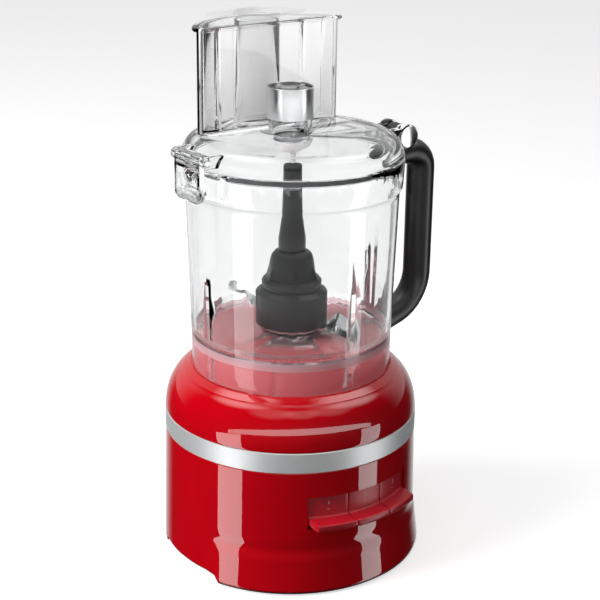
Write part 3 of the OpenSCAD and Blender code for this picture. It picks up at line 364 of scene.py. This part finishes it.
# %% Upper housing
BAND_LOW, BAND_TOP = (corner.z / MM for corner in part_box("trim_band"))
BASE_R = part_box("trim_band")[1].x / MM - 0.3
DRUM_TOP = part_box("base_top")[1].z / MM
DECK = DRUM_TOP - 22.4
WALL = 3.0
BOWL_R = 81.0
SLOPE_R = 88.5
DRUM_R = 75.3
outer = ellipse((SLOPE_R - 10.5, BAND_TOP), BASE_R - SLOPE_R + 10.5, 36.3, 2, 62, 40)
inner = ellipse((SLOPE_R - 10.5, BAND_TOP), BASE_R - SLOPE_R + 10.5 - WALL, 36.3 - WALL, 60, 2, 24)
outline = ([(BASE_R - WALL - 2.8, BAND_LOW - 8), (BASE_R - WALL - 0.3, BAND_LOW - 8),
            (BASE_R - WALL - 0.3, BAND_TOP + 0.1), (BASE_R - 0.7, BAND_TOP + 0.1),
            (BASE_R - 0.15, BAND_TOP + 0.5)]
           + outer + [(SLOPE_R + 0.1, 154.6, 0.4), (SLOPE_R - 0.5, 155.3, 0.6), (82.7, 158.5, 1.0),
                      (BOWL_R + 1, DECK, 0.3), (DRUM_R, DECK, 0.6),
                      (DRUM_R, DRUM_TOP, 3), (12.05, DRUM_TOP, 0.3), (12.05, DRUM_TOP - 3.0),
                      (DRUM_R - WALL, DRUM_TOP - 3.0), (DRUM_R - WALL, DECK - WALL), (82.5, DECK - WALL)]
           + inner + [(BASE_R - WALL - 2.8, BAND_TOP)])
housing_top = turned("housing_top", rounded(outline), red_lacquer, 256)
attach(housing_top, "base")
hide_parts("base_top")
print("upper housing:", len(housing_top.data.polygons), "faces, band from", round(BAND_LOW, 1), "to",
      round(BAND_TOP, 1))

# %% [markdown]
# The lower housing is straight at the sides and back, and flares out at the front in a low step.
# The flare is a second radius for each height, faded in over the front by the angle round the axis.
# Grip arches under both sides and the opening for the paddles are cut with boxes and an outline.

# %% Lower housing
LIFT = 3.2              # the housing stops this far above the table
DRAFT, FLARE = 2.2, 6.2
FOLD = 36.0             # height of the fold above the flare
FLARE_FULL, FLARE_GONE = 66, 77         # degrees from the front
SKIRT_STEPS = 288


def smooth(low, high, value):
    t = min(1, max(0, (value - low) / (high - low)))
    return t * t * (3 - 2 * t)


def straight_radius(z):
    return BASE_R + DRAFT * (BAND_LOW - z) / (BAND_LOW - LIFT)


FLARE_LINE = [(BAND_LOW, BASE_R), (FOLD + 9, straight_radius(FOLD + 9)), (FOLD + 3, BASE_R + 0.8),
              (FOLD, BASE_R + 1.2), (FOLD - 6, BASE_R + 2.9), (FOLD - 10, BASE_R + 3.3),
              (LIFT, BASE_R + FLARE)]


def flared_radius(z):
    for (z1, r1), (z0, r0) in zip(FLARE_LINE, FLARE_LINE[1:]):
        if z >= z0:
            return r0 + (r1 - r0) * (z - z0) / (z1 - z0)
    return FLARE_LINE[-1][1]


def eased(z, reach=2.2, samples=10):
    """The flare's radius with its corners rounded over a few millimetres of height."""
    spread = [z + reach * (2 * k / samples - 1) for k in range(samples + 1)]
    return sum(flared_radius(min(BAND_LOW, max(LIFT, v))) for v in spread) / len(spread)


def housing_wall(name, rows, inset, wall, material):
    """A closed ring wall that follows the housing. rows are (height, how far the face stands back)."""
    points, faces = [], []
    for side in range(SKIRT_STEPS):
        turn = 2 * math.pi * side / SKIRT_STEPS
        off = abs(math.degrees(math.atan2(math.sin(turn), math.cos(turn))))
        share = 1 - smooth(FLARE_FULL, FLARE_GONE, off)
        face = [(straight_radius(z) + share * (eased(z) - straight_radius(z)) - inset, z, back)
                for z, back in rows]
        ring = [(r - back, z) for r, z, back in face] + [(r - wall, z) for r, z, _ in reversed(face)]
        points += [(r * math.sin(turn) * MM, -r * math.cos(turn) * MM, z * MM) for r, z in ring]
    loop = 2 * len(rows)
    for side in range(SKIRT_STEPS):
        ahead = (side + 1) % SKIRT_STEPS
        faces += [(side * loop + k, side * loop + (k + 1) % loop,
                   ahead * loop + (k + 1) % loop, ahead * loop + k) for k in range(loop)]
    return new_mesh(name, points, faces, material)


rows = [(LIFT, 1.1), (LIFT + 0.25, 0.5), (LIFT + 0.8, 0.12)] + [(LIFT + 1.6 + 1.1 * i, 0) for i in range(40)]
fine_top = rows[-1][0]
rows += [(fine_top + 2 + i * (BAND_LOW - 2.6 - fine_top) / 9, 0) for i in range(10)]
rows += [(BAND_LOW - 0.1, 0.5)]
housing_skirt = housing_wall("housing_skirt", rows, 0, WALL, red_lacquer)


def prism(name, outline, axis, start, end):
    """A cutter: an outline in millimetres pushed along X or Y."""
    place = {"x": lambda a, b, d: (d, a, b), "y": lambda a, b, d: (a, d, b)}[axis]
    count = len(outline)
    points = [tuple(v * MM for v in place(a, b, d)) for d in (start, end) for a, b in outline]
    faces = [tuple(range(count - 1, -1, -1)), tuple(range(count, 2 * count))]
    faces += [(i, (i + 1) % count, count + (i + 1) % count, count + i) for i in range(count)]
    cutter = new_mesh(name, points, faces)
    shell = bmesh.new()
    shell.from_mesh(cutter.data)
    bmesh.ops.recalc_face_normals(shell, faces=shell.faces)
    shell.to_mesh(cutter.data)
    shell.free()
    return cutter


def cut(thing, *cutters):
    """Takes the cutters out of a piece."""
    for cutter in cutters:
        modifier = thing.modifiers.new("cut", "BOOLEAN")
        modifier.operation = "DIFFERENCE"
        modifier.solver = "EXACT"
        modifier.object = cutter
    plain(thing)
    for cutter in cutters:
        bpy.data.objects.remove(cutter)
    return thing


SLOT_LOW, SLOT_HIGH, SLOT_HALF = 56.3, 83.6, 49.0
ARCH_HALF, ARCH_H = 41.0, 6.2


def arch(drop):
    """The outline of the grip arch under one side, lowered by drop."""
    side, foot, crown = ARCH_HALF, LIFT - 0.1 - drop, LIFT + ARCH_H - drop
    shoulder = crown - 0.12 * ARCH_H
    return rounded([(-side - 1.8, foot - 2), (-side - 1.2, foot), (4 - side, shoulder, 4), (0, crown, 60),
                    (side - 4, shoulder, 4), (side + 1.2, foot), (side + 1.8, foot - 2)])


GLAND_HOLE_R = 7
gland_z = (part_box("cord_gland")[0].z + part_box("cord_gland")[1].z) / 2 / MM
gland = [(GLAND_HOLE_R * math.cos(math.radians(a)), gland_z + GLAND_HOLE_R * math.sin(math.radians(a)))
         for a in range(0, 360, 15)]
opening = rounded([(-SLOT_HALF, SLOT_LOW, 1.2), (SLOT_HALF, SLOT_LOW, 1.2),
                   (SLOT_HALF, SLOT_HIGH, 1.2), (-SLOT_HALF, SLOT_HIGH, 1.2)])
cut(housing_skirt, prism("cutter_left", arch(0), "x", -130, -60),
    prism("cutter_right", arch(0), "x", 60, 130),
    prism("cutter_slot", opening, "y", -130, -70), prism("cutter_cord", gland, "y", 80, 130))
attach(housing_skirt, "base")
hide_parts("base_skirt")
print("lower housing:", len(housing_skirt.data.polygons), "faces")

# %% [markdown]
# A black bottom pan closes the housing. The black ring drawn as its edge is painted shade: it stands in
# for the shaded gap under the housing, and shows as a thin dark line all round the foot, under the red
# wall, that follows the grip arches. As a solid it also casts a real contact shadow on the table. It is
# the same ring wall, a little smaller, with the lowered arches and the housing itself cut out of it.

# %% Painted shade under the housing edge
SHADE_RIM_DROP = 1.3
shade_rim_rows = [(LIFT - SHADE_RIM_DROP, 0.5), (LIFT - SHADE_RIM_DROP + 0.4, 0), (LIFT + 7.2, 0)]
# A black ring of painted shade, drawn where the gap under the housing's foot lies in shade.
painted_shade_rim = housing_wall("painted_shade_rim", shade_rim_rows, 0.7, WALL + 1.2, black_grained)
cut(painted_shade_rim, prism("shade_rim_left", arch(SHADE_RIM_DROP), "x", -130, -60),
    prism("shade_rim_right", arch(SHADE_RIM_DROP), "x", 60, 130))
keep_out = housing_wall("keep_out", [(LIFT - 0.02, -2), (LIFT + 9, -2)], 0, WALL + 0.05, black_grained)
cut(keep_out, prism("keep_left", arch(0.02), "x", -130, -60), prism("keep_right", arch(0.02), "x", 60, 130))
cut(painted_shade_rim, keep_out)
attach(painted_shade_rim, "base")
print("painted shade rim:", len(painted_shade_rim.data.polygons), "faces")

# %% [markdown]
# Moulded pieces have no knife edges. The CAD solids do, so a copy of each visible one is merged,
# its flat faces are joined, and its edges get a small bevel that catches the light. The bowl keeps
# its sharp edges, because bevels in a thin clear wall would only blur it. It is hazy below its
# floor, where its mould is not polished, and the floor's rim is milky. Both carry a painted pink
# tint, which stands in for the light of the red housing behind them seen through the plastic.

# %% Soften the CAD pieces
def body_of(node):
    return next(body for body, nodes in frame["record"]["behaviour"]["bodies"].items() if node in nodes)


BEVEL_FROM = math.radians(32)   # edges that bend less than this stay as they are


def softened(name, node, material, width, move=None, zones=(), cuts=()):
    """A copy of a CAD node with bevels of width millimetres. move changes a point's place, zones are
    (material, test of a face's middle), and cuts are heights where faces are split, so that zones can end."""
    thing = new_mesh(name, [], [], material)
    shell = bmesh.new()
    shell.from_mesh(NODES[node].data)
    bmesh.ops.remove_doubles(shell, verts=shell.verts, dist=0.001 * MM)
    for vert in shell.verts:
        if move:
            vert.co = move(vert.co)
    bmesh.ops.dissolve_limit(shell, angle_limit=math.radians(0.5), verts=shell.verts, edges=shell.edges)
    for height in cuts:
        bmesh.ops.bisect_plane(shell, geom=shell.verts[:] + shell.edges[:] + shell.faces[:], dist=1e-7,
                               plane_co=(0, 0, height * MM), plane_no=(0, 0, 1))
    for face in shell.faces:
        face.material_index = 0
    shell.to_mesh(thing.data)
    shell.free()
    if width:
        bevel = thing.modifiers.new("edges", "BEVEL")
        bevel.width = width * MM
        bevel.segments = 2
        bevel.limit_method = "ANGLE"
        bevel.angle_limit = BEVEL_FROM
    plain(thing)
    for number, (finish, wanted) in enumerate(zones, 1):
        thing.data.materials.append(finish)
        for face in thing.data.polygons:
            if wanted(face.center):
                face.material_index = number
    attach(thing, body_of(node))
    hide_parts(node)
    return thing


FLOOR_LOW, FLOOR_TOP = DRUM_TOP + 0.8, DRUM_TOP + 3.8
RIB_LOW, RIB_TOP = FLOOR_TOP + 3, FLOOR_TOP + 56
RIB_FACE_R, RIB_ZONE_R, RIB_BACK = (74, 77.2), (BOWL_R - 7.4, BOWL_R - 2.4), 1.7


def slim_ribs(at):
    """Moves the inner faces of the bowl's ribs out towards the wall."""
    radius = at.xy.length / MM
    if not (RIB_LOW < at.z / MM < RIB_TOP and RIB_FACE_R[0] < radius < RIB_FACE_R[1]):
        return at
    return Vector((at.x * (radius + RIB_BACK) / radius, at.y * (radius + RIB_BACK) / radius, at.z))


def on_rib(at):
    return RIB_LOW < at.z / MM < RIB_TOP and RIB_ZONE_R[0] < at.xy.length / MM < RIB_ZONE_R[1]


def on_floor_rim(at):
    return FLOOR_LOW - 2.5 < at.z / MM < FLOOR_TOP + 1 and at.xy.length > (BOWL_R - 0.3) * MM


work_bowl = softened("clear_bowl", "work_bowl", clear, 0.0, move=slim_ribs,
                     cuts=(FLOOR_LOW - 2.5, FLOOR_LOW, FLOOR_TOP + 1),
                     zones=[(thin_clear, on_rib), (hazy_with_painted_pink, lambda at: at.z < FLOOR_LOW * MM + 1e-5),
                            (milky_with_painted_pink, on_floor_rim)])
print("bowl:", len(work_bowl.data.polygons), "faces")

# %% [markdown]
# The three paddles are moulded in a satin red. Each has a shelf for the finger, and its underside is
# drawn a little lower, so that the shelf is as thick as it looks on the real machine.

# %% Soften the paddles
SHELF_THICKER = 1.2
UNDERSIDE_TOP, SHELF_FROM_R = 60.5, 100


def thicker_shelf(at):
    """Lowers the underside of a paddle's shelf."""
    under = at.z < UNDERSIDE_TOP * MM and at.xy.length > SHELF_FROM_R * MM
    return at - Vector((0, 0, SHELF_THICKER * MM)) if under else at


for name in ("low", "high", "pulse"):
    softened("switch_" + name, "paddle_" + name, satin_red, 0.45, move=thicker_shelf)
    print("switch", name, "softened")

# %% [markdown]
# The lid, tube, latch, pushers, handle, hub and chrome pieces keep their CAD shape, and only their
# edges are broken. The handle is a loft of many small flat faces, so it gets no bevel, only smooth
# shading, which hides the seams between them.

# %% Soften the clear, black and chrome pieces
SOFT_EDGES = {
    "lid_shell": ("lid_cover", 0.35), "tube_shell": ("feed_tube", 0.35), "latch_clip": ("latch_lever", 0.5),
    "pusher_shell": ("large_pusher", 0.35), "pusher_top": ("pusher_cap", 0.5),
    "inner_pusher": ("small_pusher", 0.35), "grip_shell": ("handle_grip", 0.0),
    "hub_body": ("blade_hub", 0.6), "stem_body": ("blade_stem", 0.5), "sleeve_shell": ("hub_sleeve", 0.4),
    "cone_shell": ("hub_cone", 0.4), "hinge_ends": ("hinge_caps", 0.4)}
FINISH_OF = {name: material for material, (names, _) in MATERIAL_OF.items() for name in names.split()}
for name, (node, width) in SOFT_EDGES.items():
    shell = softened(name, node, FINISH_OF[node], width)
    print(name, len(shell.data.polygons), "faces")

# %% [markdown]
# Each paddle carries a pale pad print: a plain number with a short line under it. The print is
# text turned into a mesh and bent round the paddle's face, a few hundredths of a millimetre proud.

# %% Prints on the paddles
ink, tree = new_material("pale_pad_print_ink")
show(tree, add(tree, "ShaderNodeBsdfPrincipled", {"Base Color": linear("#F0D6D8"), "Roughness": 0.5}))
TEXT_HIGH, TEXT_SIZE, LINE_DROP = 75.6, 4.6, 1.15
INK_PROUD, INK_THICK = 0.06, 0.05


def printed(name, node, text):
    """A number and a line under it on a paddle's face."""
    low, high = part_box(node)
    middle = (low.x + high.x) / 2 / MM
    face_r = max(vert.co.xy.length for vert in NODES[node].data.vertices if vert.co.z > TEXT_HIGH * MM) / MM
    words = bpy.data.curves.new(name, "FONT")
    words.body = text + "\n–"
    words.size = TEXT_SIZE
    words.space_line = LINE_DROP
    words.align_x = "CENTER"
    words.extrude = INK_THICK / 2
    flat = bpy.data.objects.new(name + "_flat", words)
    scene.collection.objects.link(flat)
    flat_mesh = bpy.data.meshes.new_from_object(flat.evaluated_get(bpy.context.evaluated_depsgraph_get()))
    bpy.data.objects.remove(flat)
    points = []
    for vert in flat_mesh.vertices:
        across, radius = middle + vert.co.x, face_r + INK_PROUD + vert.co.z
        points.append((across * MM, -math.sqrt(radius ** 2 - across ** 2) * MM, (TEXT_HIGH + vert.co.y) * MM))
    piece = plain(new_mesh(name, points, [tuple(face.vertices) for face in flat_mesh.polygons], ink))
    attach(piece, body_of(node))
    return piece


for name, text in (("low", "1"), ("high", "2"), ("pulse", "3")):
    print("print", text, len(printed("print_" + name, "paddle_" + name, text).data.polygons), "faces")

# %% [markdown]
# The room is white behind the object and dark beside and in front of it. A gloss surface mirrors
# that dark room, so its colour stays deep, and only its edges mirror the white backdrop. The floor
# is matte white and is kept out of mirrors, so that the lower wall doesn't turn pink.

# %% Room
def direction(turn, rise):
    """Unit vector turned from -Y towards +X and raised, in degrees."""
    a, e = math.radians(turn), math.radians(rise)
    return Vector((math.sin(a) * math.cos(e), -math.cos(a) * math.cos(e), math.sin(e)))


AMBIENT = 0.14          # what the room alone gives a matte white card
DARK = 0.004            # what the gloss mirrors where the room is dark
BACKDROP_TURN = 143.5   # the backdrop stands behind the object, seen from the camera


def lit(tree, source, centre, narrow, wide, level):
    """Light that is full within narrow degrees of a direction and gone past wide degrees."""
    aside = add(tree, "ShaderNodeVectorMath", {0: source, 1: centre}, operation="DOT_PRODUCT")
    patch = add(tree, "ShaderNodeMapRange", {
        "Value": aside.outputs["Value"], "From Min": math.cos(math.radians(wide)),
        "From Max": math.cos(math.radians(narrow)), "To Max": level}, interpolation_type="SMOOTHSTEP")
    return patch.outputs[0]


world = bpy.data.worlds.new("studio_room")
world.use_nodes = True
tree = world.node_tree
tree.nodes.clear()
way = add(tree, "ShaderNodeTexCoord").outputs["Generated"]
height = add(tree, "ShaderNodeSeparateXYZ", {0: way}).outputs["Z"]
above = add(tree, "ShaderNodeMapRange", {"Value": height, "From Min": 0.0, "From Max": 0.03}).outputs[0]
level_way = add(tree, "ShaderNodeVectorMath", {0: way, 1: (1, 1, 0)}, operation="MULTIPLY").outputs[0]
level_way = add(tree, "ShaderNodeVectorMath", {0: level_way}, operation="NORMALIZE").outputs[0]
behind = direction(BACKDROP_TURN, 0)
mirrored = add(tree, "ShaderNodeMix", {0: above, 2: lit(tree, level_way, behind, 14, 45, 0.75),
                                       3: lit(tree, level_way, behind, 42, 76, 0.7)},
               data_type="FLOAT").outputs[0]
mirrored = add(tree, "ShaderNodeMath", {0: mirrored, 1: DARK}, operation="ADD").outputs[0]
OVERHEAD = ((-138, 65, 5, 24, 5.0), (72, 58, 5, 24, 4.0), (-62, 59, 3, 20, 1.2), (-22, 59, 3, 17, 1.3),
            (22, 58, 3, 20, 1.2))
for turn, rise, narrow, wide, level in OVERHEAD:
    lobe = lit(tree, way, direction(turn, rise), narrow, wide, level)
    mirrored = add(tree, "ShaderNodeMath", {0: mirrored, 1: lobe}, operation="ADD").outputs[0]
path = add(tree, "ShaderNodeLightPath")
seen = add(tree, "ShaderNodeMath", {0: path.outputs["Is Camera Ray"], 1: path.outputs["Is Transmission Ray"]},
           operation="MAXIMUM")
for_eye = add(tree, "ShaderNodeMix", {0: seen.outputs[0], 2: AMBIENT, 3: 1.0}, data_type="FLOAT")
bounced = add(tree, "ShaderNodeMath", {0: path.outputs["Glossy Depth"], 1: 0.5}, operation="GREATER_THAN")
through = add(tree, "ShaderNodeMath", {0: path.outputs["Is Transmission Ray"], 1: bounced.outputs[0]},
              operation="MULTIPLY")
in_mirror = add(tree, "ShaderNodeMath", {0: path.outputs["Is Glossy Ray"], 1: through.outputs[0]},
                operation="MAXIMUM")
strength = add(tree, "ShaderNodeMix", {0: in_mirror.outputs[0], 2: for_eye.outputs[0], 3: mirrored},
               data_type="FLOAT")
sky = add(tree, "ShaderNodeBackground", {"Color": (1, 1, 1, 1), "Strength": strength.outputs[0]})
add(tree, "ShaderNodeOutputWorld", {"Surface": sky.outputs[0]})
scene.world = world


floor_white, tree = new_material("matte_white_floor")
path = add(tree, "ShaderNodeLightPath")
seen = add(tree, "ShaderNodeMath", {0: path.outputs["Is Camera Ray"], 1: path.outputs["Is Transmission Ray"]},
           operation="MAXIMUM")
card = add(tree, "ShaderNodeMix", {0: seen.outputs[0], 6: (0.25, 0.25, 0.25, 1), 7: (0.8, 0.8, 0.8, 1)},
           data_type="RGBA")
matte = add(tree, "ShaderNodeBsdfDiffuse", {"Color": card.outputs[2]})
lift = add(tree, "ShaderNodeEmission", {"Color": (1, 1, 1, 1), "Strength": 0.66})
none = add(tree, "ShaderNodeEmission", {"Strength": 0.0})
glow = add(tree, "ShaderNodeMixShader", {0: seen.outputs[0], 1: none.outputs[0], 2: lift.outputs[0]})
show(tree, add(tree, "ShaderNodeAddShader", {0: matte.outputs[0], 1: glow.outputs[0]}))
REACH = 12.0
corners = [(-REACH, -REACH, 0), (REACH, -REACH, 0), (REACH, REACH, 0), (-REACH, REACH, 0)]
floor = new_mesh("studio_floor", corners, [(0, 1, 2, 3)], floor_white)
floor.visible_glossy = False
print("floor", 2 * REACH, "m wide")

# %% [markdown]
# Three large soft lamps give the shape its light: a strong one from the left, a weak one from the
# right and one from above. They are kept out of mirrors, and a frame of white panels is put where
# the gloss should mirror a window, which is how a product photographer separates the two.

# %% Lamps
def soft_lamp(name, turn, rise, distance, size, level):
    """level is how bright the lamp alone makes white card that faces it."""
    data = bpy.data.lights.new(name, "AREA")
    data.shape = "DISK"
    data.size = size
    data.energy = level * (math.pi * distance) ** 2
    lamp = bpy.data.objects.new(name, data)
    centre = Vector((0, 0, 0.2))
    lamp.location = centre + direction(turn, rise) * distance
    lamp.rotation_euler = (centre - lamp.location).to_track_quat("-Z", "Y").to_euler()
    lamp.visible_glossy = False
    lamp.visible_camera = False
    lamp.visible_transmission = False
    scene.collection.objects.link(lamp)
    return lamp


soft_lamp("key_lamp", -105, 30, 2.2, 1.4, 0.95)
soft_lamp("fill_lamp", 30, 35, 2.4, 1.6, 0.05)
soft_lamp("top_lamp", -60, 78, 2.0, 1.6, 0.24)

# %% Mirror frame
panel_light, tree = new_material("white_light_panel")
show(tree, add(tree, "ShaderNodeEmission", {"Color": (1, 1, 1, 1), "Strength": 5.6}))
dim_light, tree = new_material("white_light_panel_dim")
show(tree, add(tree, "ShaderNodeEmission", {"Color": (1, 1, 1, 1), "Strength": 4.4}))


def light_panel(name, points, faces, material):
    """A glowing sheet that only mirrors see."""
    panel = new_mesh(name, points, faces, material)
    panel.visible_camera = panel.visible_diffuse = panel.visible_transmission = False
    panel.visible_shadow = False
    return panel


LEFT_PANEL = ((-1.601, 0.337), (-1.611, -0.342))
RIGHT_PANEL = ((0.749, -1.456), (1.200, -1.096))
PANEL_FOOT, PANEL_HEAD, CORNER_DROP = -1.6, 0.16, 0.22
for name, ends, drops, material in (("left_panel", LEFT_PANEL, (CORNER_DROP, 0), panel_light),
                                    ("right_panel", RIGHT_PANEL, (0, CORNER_DROP / 2), dim_light)):
    feet = [(x, y, PANEL_FOOT) for x, y in ends]
    heads = [(x, y, PANEL_HEAD - drop) for (x, y), drop in zip(ends, drops)]
    light_panel(name, feet + heads[::-1], [(0, 1, 2, 3)], material)
BAR_ENDS = (Vector((-1.606, 0.0, 0.15)), Vector((0.975, -1.276, 0.20)))
BAR_RISE, BAR_HALF, BAR_STEPS = 0.135, 0.08, 24
points, faces = [], []
for i in range(BAR_STEPS + 1):
    t = i / BAR_STEPS
    middle = BAR_ENDS[0].lerp(BAR_ENDS[1], t) + Vector((0, 0, BAR_RISE * 4 * t * (1 - t)))
    points += [middle - Vector((0, 0, BAR_HALF)), middle + Vector((0, 0, BAR_HALF))]
    if i:
        faces.append((2 * i - 2, 2 * i, 2 * i + 1, 2 * i - 1))
light_panel("top_bar", points, faces, dim_light)
